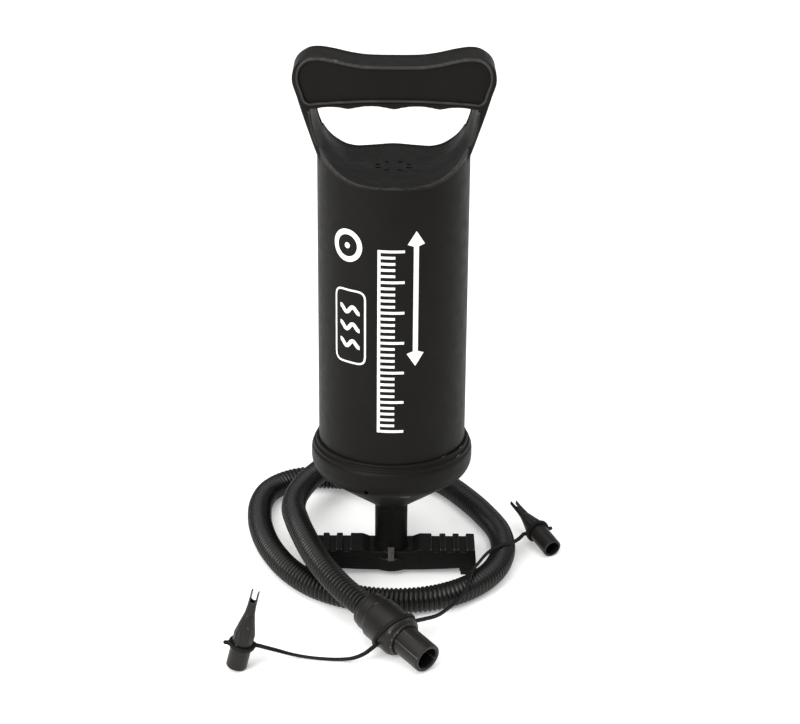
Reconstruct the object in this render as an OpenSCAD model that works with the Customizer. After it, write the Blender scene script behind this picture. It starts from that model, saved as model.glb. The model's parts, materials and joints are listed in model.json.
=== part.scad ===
// Double-action hand air pump: a foot bar with a fixed hollow stem and piston, a barrel with a
// D-handle that slides on the stem, and a corrugated hose with a nozzle and two tethered adapters.
// Millimetres. +Z is up, +Y is the rear, and the origin is on the floor under the stem's axis.

/* [Barrel] */
// Outer radius of the barrel
barrel_r = 41; // [40.5:0.1:41]
// Radius of the barrel's bore
bore_r = 39; // [38.9:0.05:39]
// Height of the deck's top face, which is the floor of the hand opening
deck_z = 243.3; // [243.3:0.5:245.3]
// Thickness of the deck
deck_t = 2.5; // [2:0.1:2.5]

/* [Handle] */
// Full height of the pump with the barrel down
pump_h = 305; // [304:0.5:306]
// Depth of the handle, front to back
handle_d = 24.4; // [22:0.2:26]
// Depth of the recessed panel in each face of the grip
panel_recess = 1.2; // [0.8:0.1:2]
// Width of the four finger scallops under the grip
scallop_w = 24; // [22:0.5:24]

/* [Stem and piston] */
// Outer radius of the stem
stem_r = 9.3; // [9.3:0.05:9.35]
// Radius of the stem's air passage
stem_bore_r = 6.8; // [6:0.1:7]
// Outer radius of the piston discs
piston_r = 38.4; // [38:0.1:38.6]
// Radial running gap between the barrel and the piston seal
seal_gap = 0.05; // [0.03:0.01:0.08]

/* [Foot bar] */
// Half length of the foot bar
foot_half = 48.9; // [48:0.5:50]
// Depth of the foot bar, front to back
foot_d = 20.4; // [18:0.2:22]
// Height of the treads' grooves above the floor
foot_top = 14.3; // [14:0.1:14.6]
// Height of the tread ribs above the grooves
rib_h = 1.7; // [1.2:0.1:1.7]

/* [Hose and adapters] */
// Outer diameter of the corrugated hose
hose_d = 14.4; // [13.6:0.2:14.4]
// Outer radius of the nozzle tube
nozzle_r = 8.2; // [8:0.05:8.2]
// Radius of the nozzle's bore
nozzle_bore_r = 5.9; // [5.7:0.05:6]
// Length of a valve adapter
adapter_l = 48; // [46:1:50]
// Diameter of a tether strap
tether_d = 2; // [1.6:0.1:2]

/* [Hidden] */
$fn = 96;
eps = 0.01;

// Finish colours
charcoal = [0.13, 0.12, 0.11];
dark_rubber = [0.10, 0.10, 0.10];
warm_grey = [0.27, 0.25, 0.24];
key_grey = [0.42, 0.41, 0.40];
inner_white = [0.80, 0.80, 0.78];
flap_red = [0.60, 0.25, 0.20];
steel = [0.70, 0.70, 0.72];

// Heights inside the barrel, at rest with the barrel down
deck_under = deck_z - deck_t;
skirt_z = 74;
plate_z = 70;
plate_t = 2;
plate_top = plate_z + plate_t;
piston_z = 222;
piston_mid = 229;
piston_top = 237;
stem_top = 227;
flap_t = 0.8;
flap_rest_gap = 0.05;
screw_pcr = 29;
screw_r = 1.4;
screw_clear = 0.05;

// The hose port at the rear of the stem's base
port_z = 20.5;
port_r = 8.6;
port_bore_r = 6;
port_end = 22;
gasket_t = 1.2;
connector_r = 9;
connector_end = 44;

// The front sleeve's axis: from the hose end to the mouth of the nozzle
sleeve_start = [-12.4, -79, 17.5];
nozzle_mouth = [19.6, -116.5, 9];
sleeve_len = 31.5;
sleeve_r = 11.9;
nozzle_seat = 14;
spigot_r = 7.6;
band_at = 22;
band_r = 12.9;
band_w = 2.4;
// How far the band's top leans towards the nozzle, for each millimetre of radius
band_tilt = 0.4;

// Each adapter's base centre and the direction in which its fork points
left_base = [-81.4, -111.8, 1.5];
left_dir = [0.237, -0.055, 0.97];
right_base = [94.4, 11.9, 5.65];
right_dir = [-0.435, 0.882, 0.181];
adapter_r = 5.6;
left_loop_at = 14;
right_loop_at = 18;
loop_r = 7.2;
loop_w = 2.2;

// The hose's route, from the connector round the pump to the sleeve
hose_route = [
    [0, 44, 20.5], [-0.5, 55, 20.2], [-3, 66, 18.3], [-8, 77, 15.2], [-15.5, 88, 11.6], [-26, 96.5, 8.6],
    [-39, 100.5, 7.4], [-53, 99.5, 7.4], [-66, 92.5, 7.4], [-75, 81, 7.4], [-79, 65.5, 7.4],
    [-79, 46, 7.4], [-75, 22.5, 7.4], [-66.8, -1.5, 7.4], [-56, -21.5, 7.4], [-40.5, -38.5, 7.4],
    [-21.5, -49, 7.4], [2, -53, 7.4], [23.5, -49.5, 7.4], [42, -39, 7.4], [57.2, -20.5, 7.4],
    [64.8, 3.5, 7.4], [64, 28, 7.4], [56, 51.3, 7.4], [45.3, 73, 7.4], [34, 91, 7.4],
    [19.5, 103.5, 9], [3.5, 110.5, 13], [-12.5, 109.5, 18.7], [-26.5, 101, 22.6], [-38.5, 87.5, 22.6],
    [-49.5, 71, 21], [-56.3, 51.5, 20.4], [-57.8, 31.5, 21.5], [-54.8, 11.5, 23.4],
    [-49.8, -8.5, 23.8], [-43.2, -29.5, 23.4], [-34.8, -48.5, 22.2], [-24.8, -64.5, 20.1], [-12.4, -79, 17.5]
];

// The tether straps' routes, from the band on the sleeve to each adapter's loop
left_route = [
    [-9, -104.6, 8.8], [-13.4, -107, 6.4], [-19.4, -106.8, 3.4], [-26.4, -105, 1.4], [-34.4, -104.5, 1.3],
    [-43.4, -103, 1.3], [-52.4, -101.8, 2.3], [-60.4, -103, 5.4], [-66.9, -107, 9.8], [-70, -110.8, 13.1]
];
right_route = [
    [13.4, -85.4, 13.7], [18.6, -80, 11.8], [25.6, -71, 8.8], [31.6, -61, 7.4], [36.6, -53.8, 7.8],
    [40.9, -49.3, 11], [43.6, -43.3, 14.6], [45.8, -34.5, 16.2], [50.1, -23.5, 16], [56.1, -11.5, 16.1],
    [63.1, -3.5, 16.2], [70.1, 4.5, 13.6], [74.8, 14.5, 10.8], [78, 23.3, 9.1]
];

// ---- functions ----

function arc(centre, r, from, to, steps) =
    [for (i = [0:steps]) let (a = from + (to - from) * i / steps) centre + r * [cos(a), sin(a)]];

function mirrored(points) = [for (i = [len(points) - 1:-1:0]) [-points[i][0], points[i][1]]];

function unit(v) = v / norm(v);

function spline_point(a, b, c, d, t) =
    0.5 * (2 * b + (c - a) * t + (2 * a - 5 * b + 4 * c - d) * t * t + (3 * b - a - 3 * c + d) * t * t * t);

// The route with one more point inside each stretch, on a smooth curve through its points
function smoothed(p) = let (n = len(p) - 1) [
    for (i = [0:2 * n])
        let (k = min(floor(i / 2), n - 1), t = i / 2 - k)
        let (a = k == 0 ? 2 * p[0] - p[1] : p[k - 1], d = k == n - 1 ? 2 * p[n] - p[n - 1] : p[k + 2])
        spline_point(a, p[k], p[k + 1], d, t)
];

function heading(p, i) =
    unit(p[min(i + 1, len(p) - 1)] - p[max(i - 1, 0)]);

function ring_points(centre, along, r, sides) =
    let (side = unit(cross(along, [0, 0, 1])), up = cross(side, along))
    [for (k = [0:sides - 1]) centre + r * (side * cos(360 * k / sides) + up * sin(360 * k / sides))];

// ---- shared shapes ----

// A round tube along a route, as one polyhedron
module swept_tube(route, r, sides, first, last) {
    path = smoothed(route);
    n = len(path);
    along = [for (i = [0:n - 1]) i == 0 ? first : i == n - 1 ? last : heading(path, i)];
    points = [for (i = [0:n - 1]) each ring_points(path[i], along[i], r, sides)];
    walls = [for (i = [0:n - 2], k = [0:sides - 1])
        let (a = i * sides + k, b = i * sides + (k + 1) % sides) [a, b, b + sides, a + sides]];
    start_cap = [for (k = [sides - 1:-1:0]) k];
    end_cap = [for (k = [0:sides - 1]) (n - 1) * sides + k];
    polyhedron(points, concat(walls, [start_cap, end_cap]), convexity = 10);
}

// Children built along +Z are moved to start at a point and run in a direction
module placed(start, dir) {
    translate(start)
        rotate([0, acos(dir[2] / norm(dir)), atan2(dir[1], dir[0])])
            children();
}

module ring(outer, inner, z0, z1) {
    translate([0, 0, z0]) difference() {
        cylinder(r = outer, h = z1 - z0);
        translate([0, 0, -1]) cylinder(r = inner, h = z1 - z0 + 2);
    }
}

module hole_circle(pcr, r, count, z0, z1) {
    for (i = [0:count - 1])
        rotate([0, 0, 360 * (i + 0.5) / count])
            translate([pcr, 0, z0]) cylinder(r = r, h = z1 - z0, $fn = 24);
}

// A flat outline in X and Z, extruded along Y about the middle plane
module front_extrude(depth) {
    translate([0, depth / 2, 0]) rotate([90, 0, 0]) linear_extrude(depth) children();
}

// ---- foot ----

rib_spans = [[16.3, 23.5], [28, 31.6], [35.7, 39.3], [43.3, 48.2]];
foot_base = 2.5;
foot_boss_r = 12.6;
foot_boss_top = 11.3;
socket_z = 5;
fillet_r = 10.1;
fillet_top = 19.6;
key_w = 3.6;
key_z0 = 10.2;
key_z1 = 18.5;
key_y0 = -13;
key_y1 = -10.9;

module foot_profile() {
    half = concat(
        [[0, foot_base], [foot_half, foot_base], [48.2, foot_top + rib_h]],
        [for (i = [len(rib_spans) - 1:-1:0]) each [
            if (i < len(rib_spans) - 1) [rib_spans[i][1], foot_top],
            if (i < len(rib_spans) - 1) [rib_spans[i][1], foot_top + rib_h],
            [rib_spans[i][0], foot_top + rib_h],
            if (i > 0) [rib_spans[i][0], foot_top]
        ]],
        [[12.5, foot_top], [0, foot_top]]
    );
    polygon(half);
    mirror([1, 0]) polygon(half);
}

module foot_bar() {
    color(charcoal) difference() {
        union() {
            front_extrude(foot_d) foot_profile();
            translate([0, 0, foot_base]) cylinder(r = foot_boss_r, h = foot_boss_top - foot_base);
        }
        // Socket for the stem
        translate([0, 0, socket_z]) cylinder(r = stem_r + eps, h = foot_top);
        // Clearance for the hose port, which leaves the stem to the rear
        translate([0, 0, port_z]) rotate([-90, 0, 0]) cylinder(r = port_r + 0.3, h = foot_d);
        // Groove for the lock key
        translate([-key_w / 2 - 0.05, key_y0 - 1, key_z0]) cube([key_w + 0.1, key_y1 - key_y0 + 4, 10]);
        // Pockets in the underside
        for (s = [-1, 1])
            translate([s * 26.5 - 11, -7.7, foot_base - 1]) cube([22, 15.4, 9.5]);
    }
}

module foot_pads() {
    color(dark_rubber)
        for (s = [-1, 1])
            translate([s * 44.4 - 4.3, -9.8, 0]) cube([8.6, 19.6, foot_base]);
}

module key_shape(grow) {
    translate([-key_w / 2 - grow, key_y0 - grow, key_z0 - grow])
        cube([key_w + 2 * grow, key_y1 - key_y0 + grow, key_z1 - key_z0 + 2 * grow]);
    translate([-key_w / 2 - grow, key_y1 - 0.1, 14.8 - grow])
        cube([key_w + 2 * grow, 2.8 + grow, 2.4 + 2 * grow]);
}

module lock_key() {
    color(key_grey) key_shape(0);
}

module stem_tube() {
    color(charcoal) difference() {
        union() {
            // A small fillet stands on the foot bar
            rotate_extrude() polygon([
                [0, socket_z], [stem_r, socket_z], [stem_r, foot_top], [fillet_r, foot_top],
                [stem_r, fillet_top], [stem_r, stem_top], [0, stem_top]
            ]);
            translate([0, 0, port_z]) rotate([-90, 0, 0]) cylinder(r = port_r, h = port_end);
        }
        translate([0, 0, socket_z + 3]) cylinder(r = stem_bore_r, h = stem_top);
        translate([0, 0, port_z]) rotate([-90, 0, 0]) cylinder(r = port_bore_r, h = port_end + 1);
        key_shape(0.05);
    }
}

// ---- hose connection at the pump ----

module port_gasket() {
    color(dark_rubber) translate([0, port_end, port_z]) rotate([-90, 0, 0])
        ring(port_r - 0.2, port_bore_r, 0, gasket_t);
}

module hose_connector() {
    seat = port_end + gasket_t;
    grip_len = connector_end - seat;
    color(charcoal) translate([0, seat, port_z]) rotate([-90, 0, 0]) difference() {
        union() {
            cylinder(r = connector_r, h = grip_len);
            translate([0, 0, -10]) cylinder(r = port_bore_r - 0.05, h = 10 + eps);
        }
        translate([0, 0, -11]) cylinder(r = 4.4, h = grip_len + 12);
        // Finger flutes round the grip
        for (i = [0:11])
            rotate([0, 0, 30 * i]) translate([connector_r + 0.9, 0, 3])
                cylinder(r = 1.4, h = grip_len - 7, $fn = 24);
    }
}

// ---- piston ----

gallery_r = 33;
seal_seat_r = 35.5;
flap_stop_z = 232.7;

module screw_holes(z0, z1) {
    hole_circle(screw_pcr, screw_r + screw_clear, 4, z0, z1);
}

module piston_lower() {
    color(inner_white) difference() {
        union() {
            difference() {
                translate([0, 0, piston_z]) cylinder(r = piston_r, h = piston_mid - piston_z);
                translate([0, 0, piston_z + 2]) cylinder(r = gallery_r, h = piston_mid);
            }
            translate([0, 0, piston_z]) cylinder(r = 13, h = flap_stop_z - piston_z);
            hole_circle(screw_pcr, 3, 4, piston_z + 1, piston_mid);
        }
        // The stem passes up into the gallery
        translate([0, 0, piston_z - 1]) cylinder(r = stem_r + eps, h = stem_top - piston_z + 1);
        translate([0, 0, piston_z]) cylinder(r = stem_bore_r, h = 20);
        translate([0, 0, stem_top - eps]) cylinder(r = 10.6, h = 20);
        for (a = [0, 90])
            rotate([0, 0, a]) translate([-20, -3, piston_mid]) cube([40, 6, 10]);
        hole_circle(20, 1.6, 8, piston_z - 1, piston_z + 3);
        ring(piston_r + 1, seal_seat_r, piston_mid - 2, piston_mid + 1);
        screw_holes(piston_z - 1, piston_mid + 1);
    }
}

module piston_upper() {
    color(inner_white) difference() {
        union() {
            difference() {
                translate([0, 0, piston_mid]) cylinder(r = piston_r, h = piston_top - piston_mid);
                translate([0, 0, piston_mid - 1]) cylinder(r = gallery_r, h = piston_top - piston_mid - 1);
            }
            hole_circle(screw_pcr, 3, 4, piston_mid, piston_top - 1);
        }
        hole_circle(6, 1.6, 6, piston_z, piston_top + 1);
        ring(piston_r + 1, seal_seat_r, piston_mid - 1, piston_mid + 2);
        screw_holes(piston_mid - 1, piston_top - 3);
    }
}

module piston_seal() {
    color(dark_rubber) ring(bore_r - seal_gap, seal_seat_r, piston_mid - 2, piston_mid + 2);
}

module piston_screws() {
    color(steel) {
        hole_circle(screw_pcr, screw_r, 4, piston_z - 0.5, piston_top - 3.5);
        hole_circle(screw_pcr, 2.6, 4, piston_z - 1.5, piston_z);
    }
}

module outlet_flap_upper() {
    color(flap_red)
        translate([0, 0, flap_stop_z + flap_rest_gap]) cylinder(r = 11.6, h = flap_t);
}

module outlet_flap_lower() {
    z = piston_z + 2 + flap_rest_gap;
    color(flap_red) ring(24.5, 15, z, z + flap_t);
}

// ---- guide that slides on the stem ----

bush_r = 12.4;
bush_z = 46;
bush_top = 58;
seal_top = 62;
guide_gap = 0.05;

module stem_bush() {
    color(inner_white) ring(bush_r, stem_r + guide_gap, bush_z, bush_top);
}

module stem_seal() {
    color(dark_rubber) ring(bush_r, stem_r + 0.03, bush_top, seal_top);
}

// ---- barrel with handle ----

grip_half = 53.6;
grip_corner_r = 11.2;
opening_r = 27;
opening_x = 15.5;
grip_under = 277.3;
scallop_rise = 1.6;
arch_x = 42.4;

// Right half of the handle's outline, from low on the barrel's side up to the middle of the top
function handle_side() = concat(
    [[37, deck_z - 3], [40.2, 250], [41.8, 255], [44.8, 264], [47.8, 273], [51, 283.5]],
    arc([grip_half - grip_corner_r, pump_h - grip_corner_r], grip_corner_r, -8, 94, 12),
    [[33, 303.9], [24, 301.9], [16, 300.7], [8, 300.3]]
);

module handle_outline() {
    side = handle_side();
    polygon(concat(side, mirrored(side)));
}

// Right half of the hand opening's outline, from the middle of its floor up to the grip
function opening_side() = concat(
    arc([opening_x, deck_z + opening_r], opening_r, -90, 0, 14),
    [[43.2, 273.8], [43.5, grip_under]]
);

// Finger scallops under the grip, drawn from right to left
function scallops() = [
    for (i = [0:3])
        for (k = [0:7])
            let (x = scallop_w * (2 - i) - scallop_w * k / 8)
            [x * arch_x / (2 * scallop_w), grip_under + scallop_rise * sin(180 * k / 8)]
];

module hand_opening() {
    side = opening_side();
    polygon(concat(side, scallops(), [[-arch_x, grip_under]], mirrored(side)));
}

// The recessed panel, inside a rim of even width
module panel_outline() {
    top_corner_r = grip_corner_r - 2.6;
    polygon(concat(
        [[0, 282.4], [24, 281.4], [44.5, 280.2], [48.2, 284]],
        arc([grip_half - grip_corner_r, pump_h - grip_corner_r], top_corner_r, -8, 94, 8),
        [[33, 301.2], [24, 299.2], [16, 298.1], [0, 297.7], [-16, 298.1], [-24, 299.2], [-33, 301.2]],
        mirrored(arc([grip_half - grip_corner_r, pump_h - grip_corner_r], top_corner_r, -8, 94, 8)),
        [[-48.2, 284], [-44.5, 280.2], [-24, 281.4]]
    ));
}

module barrel_shell() {
    wall_top = 262;
    color(charcoal) difference() {
        union() {
            translate([0, 0, skirt_z]) cylinder(r = barrel_r, h = wall_top - skirt_z);
            front_extrude(handle_d) handle_outline();
        }
        translate([0, 0, skirt_z - 1]) cylinder(r = bore_r, h = deck_under - skirt_z + 1);
        // The barrel's wall ends where the arms take over
        for (s = [-1, 1])
            translate([0, s * (handle_d / 2 + 30), wall_top - 3.5]) cube([100, 60, 8], center = true);
        front_extrude(4 * barrel_r) hand_opening();
        for (s = [-1, 1])
            translate([0, s * (handle_d / 2 - panel_recess + 5), 0]) front_extrude(10) panel_outline();
        // Air inlets through the deck
        hole_circle(9, 1.5, 8, deck_under - 1, deck_z + 1);
    }
}

module intake_cage() {
    color(inner_white) {
        ring(16, 13.2, deck_under - 3, deck_under);
        ring(16, 11.4, deck_under - 3, deck_under - 2.4);
    }
}

module intake_flap_upper() {
    color(flap_red)
        translate([0, 0, deck_under - 2.4 + flap_rest_gap]) cylinder(r = 12.6, h = flap_t);
}

module bumper_upper() {
    color(dark_rubber) ring(36, 30, deck_under - 3.5, deck_under);
}

// ---- lower end of the barrel ----

module lower_cap() {
    skirt_fit = barrel_r + 0.1;
    ledge_r = 38.6;
    color(charcoal) difference() {
        rotate_extrude($fn = 128) polygon([
            [skirt_fit, 85.2], [41.9, 85.2], [42.5, 84.4], [42.6, 83.3], [43.5, 82.7], [44, 81.4],
            [44.8, 80.5], [45.1, 79], [45.2, 77], [45.2, 73], [44.9, 71], [44.3, 69.2], [43.3, 67.4],
            [42, 66], [38, 63], [15, 46.1], [11.5, 43.5], [10.4, 42.4], [9.7, 42.2], [9.7, bush_z - 0.2],
            [bush_r + guide_gap, bush_z - 0.2], [bush_r + guide_gap, 62.4], [14.6, 62.4], [14.6, 49.4],
            [34, 62.9], [ledge_r, 66.6], [ledge_r, plate_z], [skirt_fit, plate_z]
        ]);
        // Inlet slots at the front left and the rear right
        for (a = [251.5, 71.5])
            rotate([0, 0, a]) translate([36, -1.2, 66.8]) cube([12, 2.4, 2.8]);
    }
}

module end_plate() {
    hub_r = 14.5;
    color(inner_white) difference() {
        union() {
            translate([0, 0, plate_z]) cylinder(r = barrel_r, h = plate_t);
            translate([0, 0, 62.5]) cylinder(r = hub_r, h = plate_z - 62.5 + eps);
        }
        translate([0, 0, 60]) cylinder(r = stem_r + 0.4, h = 20);
        hole_circle(27, 1.6, 12, plate_z - 1, plate_top + 1);
    }
}

module plate_gasket() {
    color(dark_rubber) ring(barrel_r, bore_r - 0.4, plate_top, skirt_z);
}

module bumper_lower() {
    color(dark_rubber) {
        ring(19.5, stem_r + 1.2, plate_top, 77.5);
        ring(23, 19.4, 74.3, 75.5);
    }
}

module intake_flap_lower() {
    z = plate_top + flap_rest_gap;
    color(flap_red) ring(33, 21, z, z + flap_t);
}

// ---- hose, sleeve and nozzle ----

sleeve_dir = unit(nozzle_mouth - sleeve_start);
nozzle_len = norm(nozzle_mouth - sleeve_start) - nozzle_seat;
band_centre = sleeve_start + band_at * sleeve_dir;
band_side = unit(cross(sleeve_dir, [0, 0, 1]));

module air_hose() {
    color(charcoal) swept_tube(hose_route, hose_d / 2, 12, [0, 1, 0], sleeve_dir);
}

module hose_sleeve() {
    color(warm_grey) placed(sleeve_start, sleeve_dir) rotate_extrude() polygon([
        [5.4, 0], [9.9, 0], [10.6, 0.8], [10.6, 8.8], [sleeve_r, 9.8], [sleeve_r, 27.4], [11, 29.6],
        [9.4, sleeve_len], [spigot_r + 0.03, sleeve_len], [spigot_r + 0.03, nozzle_seat], [5.4, nozzle_seat]
    ]);
}

// A tube with a thinner spigot that is glued into the sleeve
module hose_nozzle() {
    shoulder = sleeve_len - nozzle_seat + 0.3;
    color(warm_grey) placed(sleeve_start + nozzle_seat * sleeve_dir, sleeve_dir) rotate_extrude() polygon([
        [nozzle_bore_r, 0], [spigot_r, 0], [spigot_r, shoulder], [nozzle_r, shoulder],
        [nozzle_r, nozzle_len], [nozzle_bore_r, nozzle_len]
    ]);
}

// ---- tethers ----

module tether_band() {
    // The left strap leaves lower down than the right one
    left_out = left_route[0] - band_centre;
    right_out = right_route[0] - band_centre;
    band_root = sleeve_r + 0.5;
    band_up = cross(sleeve_dir, unit(right_out));
    slab_dir = unit(sleeve_dir - band_tilt * band_up);
    color(dark_rubber) difference() {
        union() {
            intersection() {
                placed(band_centre - 12 * sleeve_dir, sleeve_dir) cylinder(r = band_r, h = 24);
                placed(band_centre - band_w / 2 * slab_dir, slab_dir) cylinder(r = 2 * band_r, h = band_w);
            }
            for (out = [left_out, right_out])
                placed(band_centre + band_root * unit(out), out)
                    cylinder(r = band_w / 2 - 0.1, h = norm(out) - band_root, $fn = 24);
        }
        placed(band_centre - 13 * sleeve_dir, sleeve_dir) cylinder(r = sleeve_r + 0.03, h = 26);
    }
}

module tether_left() {
    n = len(left_route) - 1;
    color(dark_rubber) swept_tube(left_route, tether_d / 2, 8,
        unit(left_route[0] - band_centre), unit(loop_centre(left_base, left_dir, left_loop_at) - left_route[n]));
}

module tether_right() {
    n = len(right_route) - 1;
    color(dark_rubber) swept_tube(right_route, tether_d / 2, 8,
        unit(right_route[0] - band_centre), unit(loop_centre(right_base, right_dir, right_loop_at) - right_route[n]));
}

function loop_centre(base, dir, at) = base + at * unit(dir);

module tether_loop(base, dir, at, strap_end) {
    centre = loop_centre(base, dir, at);
    out = strap_end - centre;
    flat_out = unit(out - (out * unit(dir)) * unit(dir));
    color(dark_rubber) difference() {
        union() {
            placed(centre - loop_w / 2 * unit(dir), dir) cylinder(r = loop_r, h = loop_w);
            placed(centre, out) cylinder(r = loop_w / 2, h = norm(out), $fn = 24);
            // Pull nub opposite the strap
            placed(centre, -flat_out) cylinder(r = loop_w / 2, h = loop_r + 2.4, $fn = 24);
        }
        placed(centre - 3 * unit(dir), dir) cylinder(r = adapter_r + 0.03, h = 6);
    }
}

module tether_loop_left() {
    tether_loop(left_base, left_dir, left_loop_at, left_route[len(left_route) - 1]);
}

module tether_loop_right() {
    tether_loop(right_base, right_dir, right_loop_at, right_route[len(right_route) - 1]);
}

// ---- valve adapters ----

module valve_adapter() {
    tip_r = 2.3;
    fork_len = 6;
    difference() {
        rotate_extrude($fn = 64) polygon([
            [4.3, 0], [adapter_r - 0.4, 0], [adapter_r, 0.4], [adapter_r, 19], [adapter_r - 0.15, 21],
            [4.7, 25], [3.5, 30], [2.7, 33.5], [tip_r, 39], [tip_r, adapter_l],
            [1.3, adapter_l], [1.3, 31], [4.3, 20]
        ]);
        // The fork's slot, rounded at its root
        translate([-1.5, -5, adapter_l - fork_len + 1.5]) cube([3, 10, fork_len]);
        translate([0, 5, adapter_l - fork_len + 1.5]) rotate([90, 0, 0]) cylinder(r = 1.5, h = 10, $fn = 32);
    }
}

module valve_adapter_left() {
    color(warm_grey) placed(left_base, left_dir) valve_adapter();
}

module valve_adapter_right() {
    color(warm_grey) placed(right_base, right_dir) rotate([0, 0, 90]) valve_adapter();
}

foot_bar();
foot_pads();
lock_key();
stem_tube();
port_gasket();
hose_connector();
piston_lower();
piston_upper();
piston_seal();
piston_screws();
outlet_flap_upper();
outlet_flap_lower();
stem_bush();
stem_seal();
barrel_shell();
lower_cap();
end_plate();
plate_gasket();
bumper_upper();
bumper_lower();
intake_cage();
intake_flap_upper();
intake_flap_lower();
air_hose();
hose_sleeve();
hose_nozzle();
tether_band();
tether_left();
tether_right();
tether_loop_left();
tether_loop_right();
valve_adapter_left();
valve_adapter_right();
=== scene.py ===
"""Looks of the double-action hand air pump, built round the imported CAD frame.

Shapes are worked out in millimetres, in the row frame: +X right, +Y rear, +Z up, with the origin on the floor
under the stem's axis. new_piece() turns them into metres. Routes and exits of cords are in metres.
"""

import json
import math

import bpy
import numpy as np
from mathutils import Matrix, Vector


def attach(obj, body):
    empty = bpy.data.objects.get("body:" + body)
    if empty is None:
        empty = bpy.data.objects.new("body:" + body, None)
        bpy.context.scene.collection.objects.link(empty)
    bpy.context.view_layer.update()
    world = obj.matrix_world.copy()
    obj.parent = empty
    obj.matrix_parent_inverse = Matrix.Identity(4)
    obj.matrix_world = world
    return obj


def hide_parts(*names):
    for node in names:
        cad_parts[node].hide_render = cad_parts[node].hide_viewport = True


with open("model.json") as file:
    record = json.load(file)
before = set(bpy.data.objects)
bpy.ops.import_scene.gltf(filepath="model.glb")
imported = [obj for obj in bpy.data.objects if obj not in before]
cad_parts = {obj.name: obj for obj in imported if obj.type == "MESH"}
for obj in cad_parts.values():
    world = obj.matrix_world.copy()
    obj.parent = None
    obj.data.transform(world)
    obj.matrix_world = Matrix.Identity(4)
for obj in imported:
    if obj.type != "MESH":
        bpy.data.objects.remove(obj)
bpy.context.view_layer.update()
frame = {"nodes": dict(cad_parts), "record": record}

MM = 0.001
UP = np.array([0.0, 0.0, 1.0])
SHARP_ANGLE = math.radians(40)

# ---- main sizes, in millimetres ----

BARREL_R = 41
BORE_R = 39
SKIRT_Z = 74
DECK_UNDER = 240.8
HANDLE_HALF_DEPTH = 12.2
STEM_R = 9.3
HOSE_R = 7.2
HOSE_PITCH = 2.6
GROOVE_DEPTH = 0.95
SLEEVE_R = 11.9
SLEEVE_LEN = 31.5
NOZZLE_R = 8.2
NOZZLE_BORE_R = 5.9
NOZZLE_SEAT = 14
ADAPTER_R = 5.6
ADAPTER_LEN = 48
STRAP_R = 1.0

# ---- places of the loose parts, in metres ----

SLEEVE_START = (-0.0124, -0.079, 0.0175)
NOZZLE_MOUTH = (0.0196, -0.1165, 0.009)
BAND_AT = 0.022
BAND_TILT = 0.4
LEFT_BASE = (-0.0814, -0.1118, 0.0015)
LEFT_DIR = (0.237, -0.055, 0.97)
LEFT_LOOP_AT = 0.014
RIGHT_BASE = (0.0944, 0.0119, 0.00565)
RIGHT_DIR = (-0.435, 0.882, 0.181)
RIGHT_LOOP_AT = 0.018

HOSE_ROUTE = [
    (0, 0.044, 0.0205), (-0.0005, 0.055, 0.0202), (-0.003, 0.066, 0.0183), (-0.008, 0.077, 0.0152),
    (-0.0155, 0.088, 0.0116), (-0.026, 0.0965, 0.0086), (-0.039, 0.1005, 0.0074), (-0.053, 0.0995, 0.0074),
    (-0.066, 0.0925, 0.0074), (-0.075, 0.081, 0.0074), (-0.079, 0.0655, 0.0074), (-0.079, 0.046, 0.0074),
    (-0.075, 0.0225, 0.0074), (-0.0668, -0.0015, 0.0074), (-0.056, -0.0215, 0.0074),
    (-0.0405, -0.0385, 0.0074), (-0.0215, -0.049, 0.0074), (0.002, -0.053, 0.0074),
    (0.0235, -0.0495, 0.0074), (0.042, -0.039, 0.0074), (0.0572, -0.0205, 0.0074), (0.0648, 0.0035, 0.0074),
    (0.064, 0.028, 0.0074), (0.056, 0.0513, 0.0074), (0.0453, 0.073, 0.0074), (0.034, 0.091, 0.0074),
    (0.0195, 0.1035, 0.009), (0.0035, 0.1105, 0.013), (-0.0125, 0.1095, 0.0187), (-0.0265, 0.101, 0.0226),
    (-0.0385, 0.0875, 0.0226), (-0.0495, 0.071, 0.021), (-0.0563, 0.0515, 0.0204),
    (-0.0578, 0.0315, 0.0215), (-0.0548, 0.0115, 0.0234), (-0.0498, -0.0085, 0.0238),
    (-0.0432, -0.0295, 0.0234), (-0.0348, -0.0485, 0.0222), (-0.0248, -0.0645, 0.0201),
    (-0.0124, -0.079, 0.0175),
]
LEFT_ROUTE = [
    (-0.009, -0.1046, 0.0088), (-0.0134, -0.107, 0.0064), (-0.0194, -0.1068, 0.0034),
    (-0.0264, -0.105, 0.0014), (-0.0344, -0.1045, 0.0013), (-0.0434, -0.103, 0.0013),
    (-0.0524, -0.1018, 0.0023), (-0.0604, -0.103, 0.0054), (-0.0669, -0.107, 0.0098),
    (-0.07, -0.1108, 0.0131),
]
RIGHT_ROUTE = [
    (0.0134, -0.0854, 0.0137), (0.0186, -0.08, 0.0118), (0.0256, -0.071, 0.0088), (0.0316, -0.061, 0.0074),
    (0.0366, -0.0538, 0.0078), (0.0409, -0.0493, 0.011), (0.0436, -0.0433, 0.0146),
    (0.0458, -0.0345, 0.0162), (0.0501, -0.0235, 0.016), (0.0561, -0.0115, 0.0161),
    (0.0631, -0.0035, 0.0162), (0.0701, 0.0045, 0.0136), (0.0748, 0.0145, 0.0108), (0.078, 0.0233, 0.0091),
]

# ---- camera: a long lens that looks a little down from the front ----

CAMERA_PLACE = (0, -1.0312, 0.5676)
CAMERA_DOWN_DEG = 22
CAMERA_ROLL_DEG = 0.4
CAMERA_SENSOR_MM = 36
CAMERA_LENS_MM = 90.585
CAMERA_SHIFT = (0.00925, -0.04625)

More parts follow.
